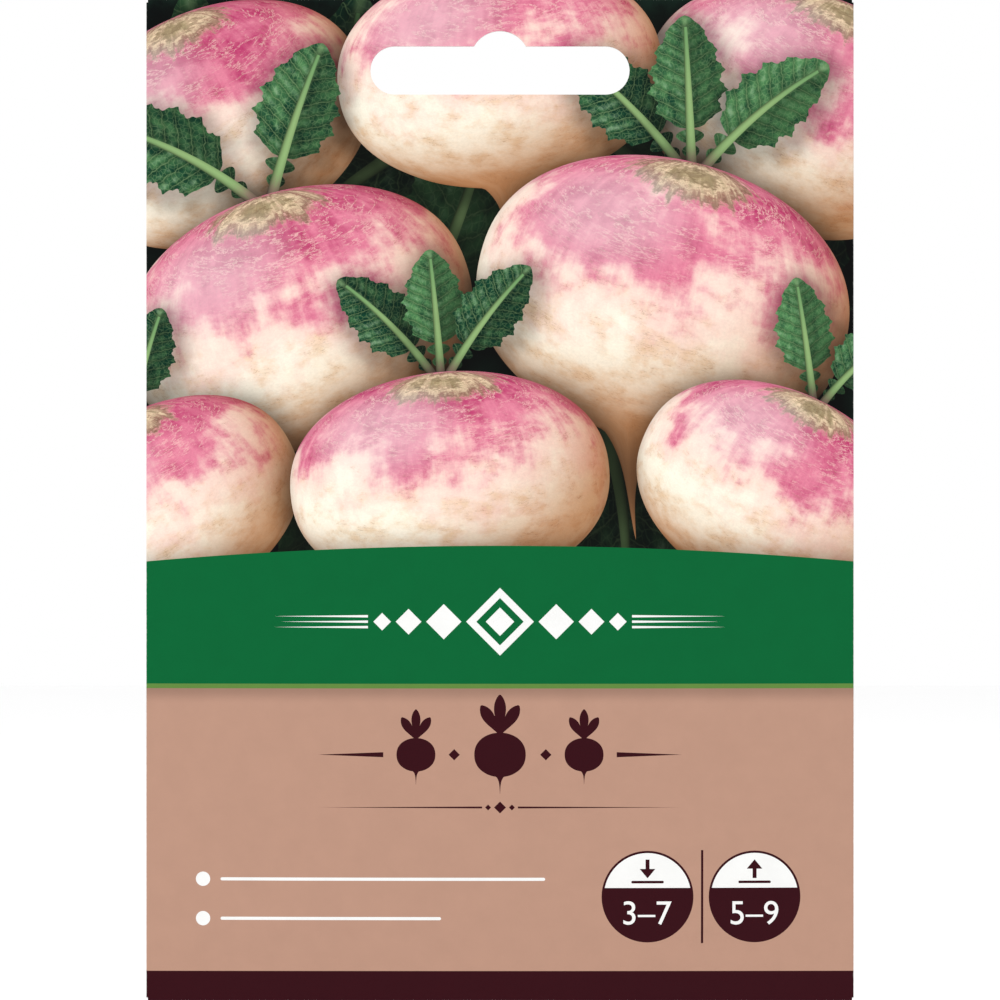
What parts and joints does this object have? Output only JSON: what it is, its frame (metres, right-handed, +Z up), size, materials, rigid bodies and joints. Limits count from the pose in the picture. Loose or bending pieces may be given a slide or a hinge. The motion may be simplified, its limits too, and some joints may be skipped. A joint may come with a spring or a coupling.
{
  "type": "seed packet",
  "caption": "Flat folded-paper seed packet with a hang slot in its header, glued centre seam and end flaps, and a foil sachet of seeds inside.",
  "frame": {"origin": "top of the hang slot's round notch at the packet's middle plane, where a peg carries the packet", "axes": "+Z up the hanging packet, -Y out of the printed front, +X to the right of someone facing the front"},
  "size_m": [0.113, 0.0052, 0.16],
  "materials": {
    "printed_paper": "satin coated print outside, uncoated white inside and at the cut edges",
    "sachet_foil": "satin foil with crimped seals",
    "seed_coat": "matte, finely pitted"
  },
  "bodies": {
    "root": {"paper_packet": "printed_paper", "sachet_front_foil": "sachet_foil", "sachet_back_foil": "sachet_foil", "seeds": "seed_coat"}
  },
  "joints": []
}
